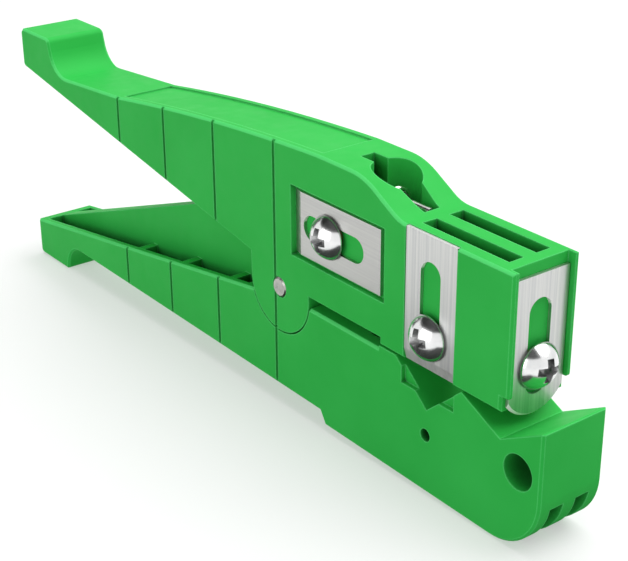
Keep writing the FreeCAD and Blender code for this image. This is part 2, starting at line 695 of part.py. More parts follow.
def screw_set(name, turn, head_seat, insert_seat):
    """A pan-head blade screw, and the threaded insert that it bites into."""
    screw = new_body(f"{name}_screw", turn, head_seat)
    shank = sketch_on(screw, "ShankOutline", "XY_Plane")
    add_circle(shank, "0", "0", "screw_diameter")
    pad(screw, "Shank", shank, "2 * screw_length")
    top = sketch_on(screw, "TopCut", "XY_Plane")
    add_circle(top, "0", "0", "2 * screw_diameter")
    pocket(screw, "ShankTop", top, "2 * screw_length", "One side", True)
    head = sketch_on(screw, "HeadOutline", "XY_Plane")
    add_circle(head, "0", "0", "head_diameter")
    pad(screw, "Head", head, "head_height", "One side")
    height = number("head_height")
    bevel_edges(screw, "HeadCrown", "head_bevel", lambda edge: (
        len(edge.Vertexes) == 1 and abs(edge.BoundBox.Center.z - height) < close))
    insert = new_body(f"{name}_insert", turn, insert_seat)
    tube = sketch_on(insert, "InsertOutline", "XY_Plane", "-insert_length")
    add_circle(tube, "0", "0", "insert_diameter")
    add_circle(tube, "0", "0", INSERT_BORE)
    pad(insert, "Tube", tube, "insert_length", "One side")


TO_NEAR_SIDE = FreeCAD.Rotation(FreeCAD.Vector(1, 0, 0), 90)
TO_FRONT = FreeCAD.Rotation(FreeCAD.Vector(0, 1, 0), 90)
RING_HEAD = f"(-{HALF} + ring_face_depth - fixed_gap)"
RING_INSERT = f"(-{HALF} + {RING_SEAT} + insert_sink)"
SPARE_HEAD = f"(-{HALF} + spare_face_depth - fixed_gap)"
SPARE_INSERT = f"(-{HALF} + {SPARE_SEAT} + insert_sink)"
screw_set("ring_blade", TO_NEAR_SIDE, ("ring_x", RING_HEAD, "ring_screw_z"),
          ("ring_x", RING_INSERT, "ring_screw_z"))
screw_set("spare_blade", TO_NEAR_SIDE, ("spare_screw_x", SPARE_HEAD, SPARE_Z),
          ("spare_screw_x", SPARE_INSERT, SPARE_Z))
screw_set("slitting_blade", TO_FRONT, (f"{SLIT_FACE} + fixed_gap", "0", "slit_screw_z"),
          ("blade_seat - insert_sink", "0", "slit_screw_z"))

# Anchor pins that the spring hooks onto, lying along the tool
for label, height, front in (("upper_spring_pin", UPPER_ANCHOR, "anchor_front"),
                             ("lower_spring_pin", "-lower_anchor_drop", "lower_anchor_front")):
    anchor = new_body(label)
    circle = sketch_on(anchor, "PinOutline", "YZ_Plane", "anchor_rear")
    add_circle(circle, "0", height, "anchor_diameter")
    pad(anchor, "Pin", circle, f"{front} - anchor_rear", "One side")

# Return spring: one wire that makes the lower hook, the coil and the upper hook in turn


def spring_points():
    """Points along the middle of the wire, from the lower hook's end to the upper one's."""
    radius = number("spring_radius")
    bottom = number(COIL_BOTTOM)
    top = number(COIL_TOP)
    turns = int(number("spring_turns"))
    coil_steps = turns * int(number("turn_steps"))
    hook_steps = int(number("hook_steps"))
    points = []
    for step in range(hook_steps):
        turn = math.pi * (1 - step / hook_steps)
        points.append((0, radius * math.cos(turn), bottom - radius * math.sin(turn)))
    for step in range(coil_steps):
        share = step / coil_steps
        turn = 2 * math.pi * turns * share
        points.append((radius * math.sin(turn), radius * math.cos(turn), bottom + (top - bottom) * share))
    for step in range(hook_steps + 1):
        turn = math.pi * step / hook_steps
        points.append((0, radius * math.cos(turn), top + radius * math.sin(turn)))
    return [FreeCAD.Vector(*point) for point in points]


wire_points = spring_points()
wire_path = doc.addObject("Part::Feature", "WirePath")
wire_path.Shape = Part.makePolygon(wire_points)
wire_section = doc.addObject("Part::RegularPolygon", "WireSection")
wire_section.Polygon = 8
wire_section.setExpression("Circumradius", bound("spring_wire / 2"))
along = wire_points[1] - wire_points[0]
wire_section.Placement = FreeCAD.Placement(
    wire_points[0], FreeCAD.Rotation(FreeCAD.Vector(0, 0, 1), along))
doc.recompute()
spring = doc.addObject("Part::Sweep", "return_spring")
spring.Label = "return_spring"
spring.Sections = [wire_section]
spring.Spine = (wire_path, [f"Edge{index + 1}" for index in range(len(wire_path.Shape.Edges))])
spring.Solid = True
spring.Transition = "Right corner"
place(spring, None, ("spring_x", "0", "0"))
subparts.append(spring)

# Every object must have come out whole before anything is written
doc.recompute()
for item in doc.Objects:
    if "Invalid" in item.State or "Error" in item.State:
        raise RuntimeError(f"{item.Label} failed: {item.State}")
os.makedirs("parts", exist_ok=True)
for piece in subparts:
    shape = piece.Shape
    if shape.isNull() or not shape.isValid() or len(shape.Solids) != 1:
        raise RuntimeError(f"{piece.Label} is not one valid solid")
for piece in subparts:
    shape = piece.Shape
    shape.exportStep(f"parts/{piece.Label}.step")
    box = shape.BoundBox
    extent = f"{box.XLength:7.2f} x {box.YLength:6.2f} x {box.ZLength:6.2f}"
    print(f"{piece.Label:22s} {shape.Volume:9.2f} mm3  {extent}")
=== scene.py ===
# %% [markdown]
# A squeeze-to-open cable slitter: two green mouldings on a steel pivot, held shut by a spring,
# with three slotted blades under bright screws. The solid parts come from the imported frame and
# keep their places. This lesson adds the light, the finishes, and the small pieces that need finer
# mesh.

# %% Load the frame
import json
import math

import bmesh
import bpy
from mathutils import Euler, Matrix, Vector


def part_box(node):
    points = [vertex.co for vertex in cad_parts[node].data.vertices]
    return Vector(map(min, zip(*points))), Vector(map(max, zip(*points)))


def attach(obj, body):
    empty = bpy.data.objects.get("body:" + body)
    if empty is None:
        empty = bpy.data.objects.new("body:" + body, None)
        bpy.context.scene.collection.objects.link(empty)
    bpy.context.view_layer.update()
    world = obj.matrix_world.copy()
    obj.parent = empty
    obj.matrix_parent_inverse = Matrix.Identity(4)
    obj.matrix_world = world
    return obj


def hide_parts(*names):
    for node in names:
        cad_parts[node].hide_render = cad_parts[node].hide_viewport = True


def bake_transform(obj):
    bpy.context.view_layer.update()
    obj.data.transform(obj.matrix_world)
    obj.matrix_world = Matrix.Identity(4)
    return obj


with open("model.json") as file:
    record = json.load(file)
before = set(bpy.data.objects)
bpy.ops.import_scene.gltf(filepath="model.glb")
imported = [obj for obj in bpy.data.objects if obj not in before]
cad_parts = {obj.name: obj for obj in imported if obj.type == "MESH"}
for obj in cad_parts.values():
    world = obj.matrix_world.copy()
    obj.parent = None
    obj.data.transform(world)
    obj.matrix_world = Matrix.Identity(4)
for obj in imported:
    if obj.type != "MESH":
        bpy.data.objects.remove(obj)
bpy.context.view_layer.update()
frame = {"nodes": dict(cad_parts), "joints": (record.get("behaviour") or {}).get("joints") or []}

MM = 0.001
scene = bpy.context.scene
hinge = next(joint for joint in frame["joints"] if joint["name"] == "handle_hinge")
pivot = Vector(hinge["pos_m"])
print("nodes:", len(frame["nodes"]), "pivot at", [round(value / MM, 2) for value in pivot])

# %% [markdown]
# The camera stands in front of the jaws, to the blade side and a little above. It could be aimed
# by hand, but then each try would give a slightly different view. Here its place is counted from
# the pivot, the point that the view was fitted around, and its turn is built from three angles.

# %% Camera
CAMERA_FROM_PIVOT = Vector((157.96, -119.53, 91.21)) * MM
CAMERA_AZIMUTH = math.radians(52.711)
CAMERA_ELEVATION = math.radians(24.858)
CAMERA_ROLL = math.radians(-0.402)
CAMERA_LENS = 84.16
CAMERA_SENSOR = 36.0
CAMERA_CLIP = (0.01, 20.0)


def camera_turn():
    """The camera's right, up and back directions as the columns of a turn."""
    back = Vector((
        math.sin(CAMERA_AZIMUTH) * math.cos(CAMERA_ELEVATION),
        -math.cos(CAMERA_AZIMUTH) * math.cos(CAMERA_ELEVATION),
        math.sin(CAMERA_ELEVATION),
    ))
    level_right = Vector((math.cos(CAMERA_AZIMUTH), math.sin(CAMERA_AZIMUTH), 0.0))
    level_up = back.cross(level_right)
    right = level_right * math.cos(CAMERA_ROLL) + level_up * math.sin(CAMERA_ROLL)
    up = back.cross(right)
    return Matrix((right, up, back)).transposed().to_4x4()


camera_data = bpy.data.cameras.new("camera")
camera_data.lens = CAMERA_LENS
camera_data.sensor_width = CAMERA_SENSOR
camera_data.clip_start, camera_data.clip_end = CAMERA_CLIP
camera = bpy.data.objects.new("camera", camera_data)
scene.collection.objects.link(camera)
scene.camera = camera
camera.matrix_world = Matrix.Translation(pivot + CAMERA_FROM_PIVOT) @ camera_turn()
print("camera at", [round(value, 4) for value in camera.matrix_world.translation])

# %% [markdown]
# Every finish below is a tree of nodes. Linking them one by one takes many lines, so four helpers
# do it: one adds a node, one feeds its inputs, and two give the numbers that a Math or a Map Range
# node works out.

# %% Helpers for node trees


def feed(tree, node, inputs):
    """Set each named or numbered input to a value, or link it to another node's output."""
    for name, source in inputs.items():
        if isinstance(source, bpy.types.NodeSocket):
            tree.links.new(source, node.inputs[name])
        else:
            node.inputs[name].default_value = source


def add_node(tree, kind, inputs=None, **settings):
    """A new node with its settings and its inputs."""
    node = tree.nodes.new(kind)
    for name, value in settings.items():
        setattr(node, name, value)
    feed(tree, node, inputs or {})
    return node


def worked_out(tree, operation, *sources):
    """The number that a Math node gives for one, two or three others."""
    node = add_node(tree, "ShaderNodeMath", dict(enumerate(sources)), operation=operation)
    return node.outputs["Value"]


def spread(tree, source, from_span, to_span, smooth=True):
    """A number moved from one span to another, and held inside it."""
    node = add_node(tree, "ShaderNodeMapRange", {
        "Value": source,
        "From Min": from_span[0],
        "From Max": from_span[1],
        "To Min": to_span[0],
        "To Max": to_span[1],
    }, interpolation_type="SMOOTHSTEP" if smooth else "LINEAR")
    return node.outputs["Result"]


print("node helpers ready")

# %% [markdown]
# A cut-out product picture has a white surround. Strong lamps on a white backdrop would also
# bleach the tool, so the world is white to the camera and to reflections only, and dimmer as a
# light. The plastic then keeps the colour that its finish says.

# %% World
WORLD_LIGHT = 0.29
WHITE = (1.0, 1.0, 1.0, 1.0)


def white_to_the_eye(tree, dim_strength):
    """A strength of 1 for camera, mirror and glass rays, and a lower one for plain light."""
    path = add_node(tree, "ShaderNodeLightPath")
    seen = worked_out(
        tree, "MAXIMUM", path.outputs["Is Camera Ray"], path.outputs["Is Glossy Ray"])
    clear = worked_out(tree, "MAXIMUM", seen, path.outputs["Is Transmission Ray"])
    return spread(tree, clear, (0.0, 1.0), (dim_strength, 1.0), smooth=False)


scene.view_settings.view_transform = "Standard"
world = bpy.data.worlds.new("studio")
scene.world = world
world.use_nodes = True
feed(world.node_tree, world.node_tree.nodes["Background"], {
    "Color": WHITE,
    "Strength": white_to_the_eye(world.node_tree, WORLD_LIGHT),
})
print("world: white to the eye, and", WORLD_LIGHT, "as a light")

# %% [markdown]
# The tool stands on its finger pad and on the front of its jaw, which are not quite level, so the
# floor slopes by about a degree. A plain white plane would show its far edge as a grey line. This
# one fades into the white surround with distance, and is clear from below, for views of the
# underside.

# %% Slope of the floor
PAD_FOOT_INSET = 10.0 * MM
JAW_FOOT_INSET = 8.6 * MM
JAW_FOOT_RISE = 2.0 * MM
lower_low, lower_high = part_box("lower_body")
pad_foot_x = lower_low.x + PAD_FOOT_INSET
jaw_foot_x = lower_high.x - JAW_FOOT_INSET
slope = JAW_FOOT_RISE / (jaw_foot_x - pad_foot_x)


def floor_height(x):
    """Height of the sloping floor under a place along the tool."""
    return (x - pad_foot_x) * slope


print("floor slope", round(math.degrees(math.atan(slope)), 2), "degrees")

# %% Plain faces around the tool
STAGE_ROUGH = 0.9
STAGE_SHINE = 0.1


def new_finish(name):
    """A new material, its node tree and its main shader."""
    finish = bpy.data.materials.new(name)
    finish.use_nodes = True
    return finish, finish.node_tree, finish.node_tree.nodes["Principled BSDF"]


def staged(name, points, grey):
    """One plain face around the tool that is not part of it."""
    mesh = bpy.data.meshes.new(name)
    mesh.from_pydata(points, [], [tuple(range(len(points)))])
    piece = bpy.data.objects.new(name, mesh)
    scene.collection.objects.link(piece)
    finish, tree, shader = new_finish(name)
    feed(tree, shader, {
        "Base Color": (grey, grey, grey, 1.0),
        "Roughness": STAGE_ROUGH,
        "Specular IOR Level": STAGE_SHINE,
    })
    mesh.materials.append(finish)
    return piece


print("stage finish: roughness", STAGE_ROUGH)

# %% Floor
FLOOR_REACH = 3.0
FLOOR_WHITE = 0.94
FLOOR_BOUNCE = 0.68
FLOOR_FADE = (0.20, 0.50)
# Near the tool the floor also glows at this share, which makes its shadow paler: painted light.
FLOOR_GLOW = 0.45
CORNER_SIGNS = [(-1, -1), (1, -1), (1, 1), (-1, 1)]


def finish_floor(tree):
    """White floor that keeps the shadow, fades into the surround, and is clear from below."""
    near_floor = tree.nodes["Principled BSDF"]
    tone = worked_out(tree, "MULTIPLY", white_to_the_eye(tree, FLOOR_BOUNCE), FLOOR_WHITE)
    feed(tree, near_floor, {"Base Color": tone})
    far_floor = add_node(
        tree, "ShaderNodeEmission", {"Strength": white_to_the_eye(tree, FLOOR_BOUNCE)})
    place = add_node(tree, "ShaderNodeTexCoord")
    distance = add_node(
        tree, "ShaderNodeVectorMath", {0: place.outputs["Object"]}, operation="LENGTH")
    faded = add_node(tree, "ShaderNodeMixShader", {
        0: spread(tree, distance.outputs["Value"], FLOOR_FADE, (FLOOR_GLOW, 1.0)),
        1: near_floor.outputs["BSDF"],
        2: far_floor.outputs["Emission"],
    })
    side = add_node(tree, "ShaderNodeNewGeometry")
    clear = add_node(tree, "ShaderNodeBsdfTransparent")
    whole = add_node(tree, "ShaderNodeMixShader", {
        0: side.outputs["Backfacing"],
        1: faded.outputs["Shader"],
        2: clear.outputs["BSDF"],
    })
    feed(tree, tree.nodes["Material Output"], {"Surface": whole.outputs["Shader"]})


floor_corners = [(x * FLOOR_REACH, y * FLOOR_REACH) for x, y in CORNER_SIGNS]
floor = staged("floor", [(x, y, floor_height(x)) for x, y in floor_corners], FLOOR_WHITE)
finish_floor(floor.active_material.node_tree)
print("floor:", 2 * FLOOR_REACH, "metres square")

# %% [markdown]
# Bright metal in an all-white room looks like paper, because it has nothing dark to mirror. In a
# studio, black cards stand around it. Here they are a half roof on the blade side and a screen
# behind the handles, and only mirror rays see them. A dark sheet on the floor below the screws,
# also seen only by mirror rays, is a painted reflection of the shade on the floor there.

# %% Dark cards for mirror rays
ROOF_HEIGHT = 0.50
ROOF_REACH = 0.72
ROOF_SIDES = 24
ROOF_PAST_MIDDLE = 0.06
ROOF_GREY = 0.015
SCREEN_X = -0.60
SCREEN_HALF = 0.16
SCREEN_TOP = 0.40
SCREEN_GREY = 0.10
# The sheet is painted shade, seen only in reflections, on the floor below the screws.
SHEET_LOW = (-0.005, -0.034)
SHEET_HIGH = (0.092, 0.026)
SHEET_LIFT = 0.2 * MM
SHEET_SHADE_GREY = 0.05

roof_angles = [math.pi + math.pi * step / ROOF_SIDES for step in range(ROOF_SIDES + 1)]
roof_points = [
    (ROOF_REACH * math.cos(angle), ROOF_REACH * math.sin(angle) + ROOF_PAST_MIDDLE, ROOF_HEIGHT)
    for angle in roof_angles
]
screen_points = [
    (SCREEN_X, -SCREEN_HALF, 0.0), (SCREEN_X, SCREEN_HALF, 0.0),
    (SCREEN_X, SCREEN_HALF, SCREEN_TOP), (SCREEN_X, -SCREEN_HALF, SCREEN_TOP),
]
sheet_corners = [
    SHEET_LOW, (SHEET_HIGH[0], SHEET_LOW[1]), SHEET_HIGH, (SHEET_LOW[0], SHEET_HIGH[1]),
]
sheet_points = [(x, y, floor_height(x) + SHEET_LIFT) for x, y in sheet_corners]
cards = [
    staged("dark_roof", roof_points, ROOF_GREY),
    staged("dark_screen", screen_points, SCREEN_GREY),
    staged("dark_sheet", sheet_points, SHEET_SHADE_GREY),
]
for card in cards:
    card.visible_camera = False
    card.visible_diffuse = False
    card.visible_shadow = False
    card.visible_transmission = False
print("dark cards:", [card.name for card in cards])

# %% [markdown]
# Two soft boxes are enough. The larger hangs above the far side, so that the tops are the
# brightest faces, and the smaller one lifts the blade side. Small hard lamps would draw sharp
# shadows in the slots and hot spots on the plastic.

# %% Lamps
# Place and side length in metres, power in watts.
LAMPS = {
    "key_far_above": ((0.12, 0.30, 0.80), 1.2, 11.8),
    "fill_blade_side": ((0.05, -0.90, 0.25), 0.8, 3.4),
}


def soft_lamp(name, place, size, power):
    """A square soft box that looks at the pivot."""
    data = bpy.data.lights.new(name, "AREA")
    data.size = size
    data.energy = power
    lamp = bpy.data.objects.new(name, data)
    scene.collection.objects.link(lamp)
    aim = (pivot - Vector(place)).to_track_quat("-Z", "Y")
    lamp.matrix_world = Matrix.Translation(place) @ aim.to_matrix().to_4x4()


for lamp_name, lamp_values in LAMPS.items():
    soft_lamp(lamp_name, *lamp_values)
print("lamps:", list(LAMPS))

# %% [markdown]
# Moulded plastic is never one flat colour. It has a faint cloudiness, a fine satin skin that
# breaks up the shine, and slightly uneven gloss. A photo of plastic would need unwrapping and
# would show its joins. Noise on the object's own coordinates has no joins, and stays with the part
# in every view.

# %% Noise helpers
NOISE_TONES = (0.3, 0.7)
NOISE_SPAN = (0.25, 0.75)
EVEN = (1.0, 1.0, 1.0)


def object_noise(tree, scale, stretch=EVEN, detail=3.0):
    """Noise on object coordinates, with a scale in features per metre."""
    place = add_node(tree, "ShaderNodeTexCoord")
    mapping = add_node(
        tree, "ShaderNodeMapping", {"Vector": place.outputs["Object"], "Scale": stretch})
    noise = add_node(tree, "ShaderNodeTexNoise", {
        "Vector": mapping.outputs["Vector"],
        "Scale": scale,
        "Detail": detail,
    })
    return noise.outputs["Fac"]


def ramp(tree, noise, tones):
    """A dark and a light colour, spread over the middle of a noise."""
    node = add_node(tree, "ShaderNodeValToRGB", {"Fac": noise})
    for stop, place, colour in zip(node.color_ramp.elements, NOISE_TONES, tones):
        stop.position = place
        stop.color = (*colour, 1.0)
    return node.outputs["Color"]


def uneven(tree, noise, span):
    """A number that wanders over a span with a noise."""
    return spread(tree, noise, NOISE_SPAN, span, smooth=False)


def add_bump(tree, shader, height, strength, depth):
    """Small unevenness of a surface, from a noise taken as its height."""
    bump = add_node(
        tree, "ShaderNodeBump", {"Height": height, "Strength": strength, "Distance": depth})
    feed(tree, shader, {"Normal": bump.outputs["Normal"]})
    return bump


def mixed(tree, share, first, second, kind="MIX"):
    """Two colours blended by a share."""
    node = add_node(tree, "ShaderNodeMix", data_type="RGBA", blend_type=kind)
    places = {socket.identifier: place for place, socket in enumerate(node.inputs)}
    feed(tree, node, {
        places["Factor_Float"]: share,
        places["A_Color"]: first,
        places["B_Color"]: second,
    })
    return next(socket for socket in node.outputs if socket.identifier == "Result_Color")


print("noise helpers ready")

# %% [markdown]
# The mouldings catch light along their edges and go dark in their slots and holes. Rounding every
# edge in mesh would multiply the faces, so a Bevel node softens the edges as they are shaded.
# Where it turns the normal, or a face is a bevel below the top, a painted highlight makes the green
# paler. Ambient occlusion finds hollows, and painted shade makes them darker.

# %% Edges and rims of the plastic
# Colour of the painted highlight on edges and on the bevels below the tops.
PAINTED_HIGHLIGHT_GREEN = (0.110, 0.760, 0.200, 1.0)
EDGE_SOFTNESS = 0.30 * MM
EDGE_SAMPLES = 6
EDGE_MATCH = (0.90, 1.0)
RIM_LIGHT = 0.75
RIM_LEAN = math.sqrt(0.5)
RIM_TOLERANCE = 0.1
RIM_RISE = (0.2, 0.6)


def true_normal(tree):
    """The way that a face looks, before anything softens it."""
    return add_node(tree, "ShaderNodeNewGeometry").outputs["True Normal"]


def normal_parts(tree):
    """The X, Y and Z parts of the way that a face looks."""
    return add_node(tree, "ShaderNodeSeparateXYZ", {"Vector": true_normal(tree)}).outputs


def edge_share(tree, soft_normal):
    """Share of painted highlight on an edge, from the turn between the softened normal and the true
    one.
    """
    match = add_node(
        tree, "ShaderNodeVectorMath", {0: soft_normal, 1: true_normal(tree)},
        operation="DOT_PRODUCT")
    return spread(tree, match.outputs["Value"], EDGE_MATCH, (1.0, 0.0))


def rim_share(tree):
    """Share of painted highlight on a bevel between a side and the top, where the light catches."""
    parts = normal_parts(tree)
    sideways = worked_out(tree, "ABSOLUTE", parts["Y"])
    halfway = worked_out(tree, "COMPARE", sideways, RIM_LEAN, RIM_TOLERANCE)
    rising = spread(tree, parts["Z"], RIM_RISE, (0.0, RIM_LIGHT))
    return worked_out(tree, "MULTIPLY", halfway, rising)


print("edge softness", EDGE_SOFTNESS / MM, "mm")

# %% Green moulded plastic
GREEN_TONES = ((0.024, 0.455, 0.062), (0.034, 0.510, 0.078))
CLOUD_GRAIN = 60.0
GLOSS_GRAIN = 450.0
GLOSS_DETAIL = 4.0
GLOSS_ROUGH = (0.46, 0.58)
SKIN_GRAIN = 3800.0
SKIN_DETAIL = 2.0
SKIN_BUMP = 0.10
SKIN_DEPTH = 0.03 * MM
PLASTIC_SHINE = 0.09
HOLLOW_REACH = 5.5 * MM
# Painted shade darkens the green in the hollows that ambient occlusion finds, over this span, down
# to the next tone.
HOLLOW_SHADE = (0.05, 0.60)
HOLLOW_SHADE_TONE = 0.10
HOLLOW_DULL = (0.30, 0.80)
HOLLOW_ROUGH = 0.95
SHADE_SAMPLES = 8


def green_plastic():
    """Cloudy satin green, paler on edges by painted highlight, and darker by painted shade and
    duller in hollows.
    """
    finish, tree, shader = new_finish("green_plastic")
    soft_edge = add_node(
        tree, "ShaderNodeBevel", {"Radius": EDGE_SOFTNESS}, samples=EDGE_SAMPLES)
    soft_normal = soft_edge.outputs["Normal"]
    body = ramp(tree, object_noise(tree, CLOUD_GRAIN), GREEN_TONES)
    # Painted highlight: the green is paler on rims and edges.
    rimmed = mixed(tree, rim_share(tree), body, PAINTED_HIGHLIGHT_GREEN)
    edge_highlighted = mixed(tree, edge_share(tree, soft_normal), rimmed, PAINTED_HIGHLIGHT_GREEN)
    hollow = add_node(
        tree, "ShaderNodeAmbientOcclusion", {"Distance": HOLLOW_REACH},
        samples=SHADE_SAMPLES, only_local=True)
    openness = hollow.outputs["AO"]
    # Painted shade in hollows, multiplied into the colour below.
    shade = spread(tree, openness, HOLLOW_SHADE, (HOLLOW_SHADE_TONE, 1.0))
    gloss = uneven(tree, object_noise(tree, GLOSS_GRAIN, detail=GLOSS_DETAIL), GLOSS_ROUGH)
    dull = spread(tree, openness, HOLLOW_DULL, (HOLLOW_ROUGH, 0.0))
    feed(tree, shader, {
        "Base Color": mixed(tree, 1.0, edge_highlighted, shade, "MULTIPLY"),
        "Roughness": worked_out(tree, "MAXIMUM", gloss, dull),
        "Specular IOR Level": PLASTIC_SHINE,
    })
    skin = object_noise(tree, SKIN_GRAIN, detail=SKIN_DETAIL)
    bump = add_bump(tree, shader, skin, SKIN_BUMP, SKIN_DEPTH)
    feed(tree, bump, {"Normal": soft_normal})
    return finish


plastic = green_plastic()
print("finish:", plastic.name)

# %% [markdown]
# The blades are ground along their length, so their scratches are long thin streaks. Anisotropic
# gloss would stretch the shine but draw no scratches. Noise squeezed across the blade and drawn
# out along it gives streaks of tone, of gloss and of height together.

# %% Ground blade steel
STREAK_LONG = 25.0
STREAK_FINE = 4200.0
STREAK_DETAIL = 2.0
STREAK_BUMP = 0.12
STREAK_DEPTH = 0.02 * MM
GROUND_ROUGH = (0.30, 0.46)
BEVEL_DOWN = (-0.40, -0.15)
# Painted highlight: the downward bevel is painted paler and less metallic.
BEVEL_LIT_STEEL = (0.92, 0.90, 0.89, 1.0)
BEVEL_ROUGH = 0.62
BEVEL_METAL = 0.10
UPRIGHT_STREAK = (STREAK_FINE, STREAK_FINE, STREAK_LONG)
UPRIGHT_TONES = ((0.51, 0.52, 0.52), (0.69, 0.69, 0.67))
LYING_STREAK = (STREAK_LONG, STREAK_FINE, STREAK_FINE)
# The lying blade's tones are darker than the upright ones: painted shade.
LYING_SHADED_TONES = ((0.47, 0.47, 0.46), (0.55, 0.55, 0.53))


def ground_steel(name, stretch, tones):
    """Streaked steel whose downward sharpened bevel is less smooth, and painted paler and less
    metallic as a highlight.
    """
    finish, tree, shader = new_finish(name)
    streak = object_noise(tree, 1.0, stretch, STREAK_DETAIL)
    bevel = spread(tree, normal_parts(tree)["Z"], BEVEL_DOWN, (1.0, 0.0))
    matt = spread(tree, bevel, (0.0, 1.0), (0.0, BEVEL_ROUGH))
    feed(tree, shader, {
        # Painted highlight on the bevel, in the colour and the metallic.
        "Base Color": mixed(tree, bevel, ramp(tree, streak, tones), BEVEL_LIT_STEEL),
        "Roughness": worked_out(tree, "MAXIMUM", uneven(tree, streak, GROUND_ROUGH), matt),
        "Metallic": spread(tree, bevel, (0.0, 1.0), (1.0, BEVEL_METAL)),
    })
    add_bump(tree, shader, streak, STREAK_BUMP, STREAK_DEPTH)
    return finish


upright_steel = ground_steel("ground_steel_upright", UPRIGHT_STREAK, UPRIGHT_TONES)
lying_steel = ground_steel("ground_steel_lying", LYING_STREAK, LYING_SHADED_TONES)
print("finishes:", upright_steel.name, lying_steel.name)

# %% [markdown]
# Screws are nickel plated and bright. The pivot pin is dull drawn steel, the spring and its pins
# are brighter, and the inserts are turned brass that shows only when a screw is out. They differ
# in tone, gloss and grain alone, so one function makes all four.

# %% Plated, drawn and turned metal
CREVICE_REACH = 1.2 * MM
# Painted shade: metal is darkened in the crevices that ambient occlusion finds, down to this tone.
CREVICE_SHADE_TONE = 0.55
PLAIN_CREVICE = (0.40, 0.90)
# Screw heads are darkened further out, a painted shade line where each sits on its blade.
HEAD_CREVICE = (0.70, 0.98)
PLATE_GRAIN = 700.0
STEEL_GRAIN = 900.0


def plain_metal(name, tones, rough, grain=STEEL_GRAIN, crevice=PLAIN_CREVICE):
    """Cloudy metal that goes dark in crevices by painted shade."""
    finish, tree, shader = new_finish(name)
    cloud = object_noise(tree, grain)
    hollow = add_node(
        tree, "ShaderNodeAmbientOcclusion", {"Distance": CREVICE_REACH}, samples=SHADE_SAMPLES)
    # Painted shade in crevices, multiplied into the colour below.
    shade = spread(tree, hollow.outputs["AO"], crevice, (CREVICE_SHADE_TONE, 1.0))
    feed(tree, shader, {
        "Base Color": mixed(tree, 1.0, ramp(tree, cloud, tones), shade, "MULTIPLY"),
        "Roughness": uneven(tree, cloud, rough),
        "Metallic": 1.0,
    })
    return finish


nickel = plain_metal(
    "nickel_plate", tones=((0.77, 0.78, 0.78), (0.86, 0.86, 0.86)), rough=(0.16, 0.24),
    grain=PLATE_GRAIN, crevice=HEAD_CREVICE)
drawn_steel = plain_metal(
    "drawn_steel", tones=((0.36, 0.36, 0.34), (0.52, 0.51, 0.48)), rough=(0.25, 0.38))
spring_steel = plain_metal(
    "spring_steel", tones=((0.62, 0.62, 0.60), (0.76, 0.75, 0.73)), rough=(0.18, 0.30))
brass = plain_metal(
    "turned_brass", tones=((0.52, 0.37, 0.13), (0.64, 0.47, 0.18)), rough=(0.25, 0.40))
print("finishes:", nickel.name, drawn_steel.name, spring_steel.name, brass.name)

# %% [markdown]
# Eleven of the solids already have the right shape. They stay as they are, and each only gets its
# finish. The spare blade lies on its side in its window, so its streaks run along the tool.

# %% Give each solid part its finish
PART_FINISH = {
    "upper_body": plastic,
    "lower_body": plastic,
    "ring_blade": upright_steel,
    "slitting_blade": upright_steel,
    "spare_blade": lying_steel,
    "pivot_pin": drawn_steel,
    "upper_spring_pin": spring_steel,
    "lower_spring_pin": spring_steel,
    "ring_blade_insert": brass,
    "slitting_blade_insert": brass,
    "spare_blade_insert": brass,
}
for node_name, finish in PART_FINISH.items():
    part_mesh = frame["nodes"][node_name].data
    part_mesh.materials.clear()
    part_mesh.materials.append(finish)
print("finished parts:", len(PART_FINISH))

# %% [markdown]
# The blade screws are pan heads with a domed top and a cross recess. A recess painted as a dark
# cross would look flat from the side. So one screw is turned from a profile, its recess is cut
# with a tapered cross, and a node tree sets a copy at each of the three seats.

# %% Profile of a pan-head screw
head_low, head_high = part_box("ring_blade_screw")
HEAD_RADIUS = (head_high.x - head_low.x) / 2
HEAD_RIM = 0.30 * MM
HEAD_LIP = 0.22 * MM
SHANK_RADIUS = 1.75 * MM
SHANK_LENGTH = 6.5 * MM
SHANK_TIP_RADIUS = SHANK_RADIUS * 0.8
SHANK_TIP_LENGTH = 0.4 * MM
HEAD_HEIGHT = head_high.y - head_low.y - SHANK_LENGTH
DOME_HEIGHT = 2.40 * MM
DOME_STEPS = 14


def screw_profile():
    """Shank tip, shank, under-head, rim, then the dome up to the axis."""
    rise = DOME_HEIGHT - HEAD_RIM
    dome_radius = (HEAD_RADIUS ** 2 + rise ** 2) / (2 * rise)
    opening = math.asin(HEAD_RADIUS / dome_radius)
    points = [
        (0.0, -SHANK_LENGTH),
        (SHANK_TIP_RADIUS, -SHANK_LENGTH),
        (SHANK_RADIUS, -SHANK_LENGTH + SHANK_TIP_LENGTH),
        (SHANK_RADIUS, 0.0),
        (HEAD_RADIUS - HEAD_LIP, 0.0),
        (HEAD_RADIUS, HEAD_LIP),
        (HEAD_RADIUS, HEAD_RIM),
    ]
    for step in range(1, DOME_STEPS + 1):
        lean = opening * (1 - step / DOME_STEPS)
        height = DOME_HEIGHT - dome_radius * (1 - math.cos(lean))
        points.append((dome_radius * math.sin(lean), height))
    return points


print("screw head", round(2 * HEAD_RADIUS / MM, 2), "mm across")

# %% Cross that cuts the recess
RECESS_REACH = 2.05 * MM
RECESS_HALF_WIDTH = 0.64 * MM
RECESS_DEPTH = 1.5 * MM
RECESS_ABOVE = 0.3 * MM
RECESS_FLOOR_REACH = 0.45
RECESS_FLOOR_WIDTH = 0.7


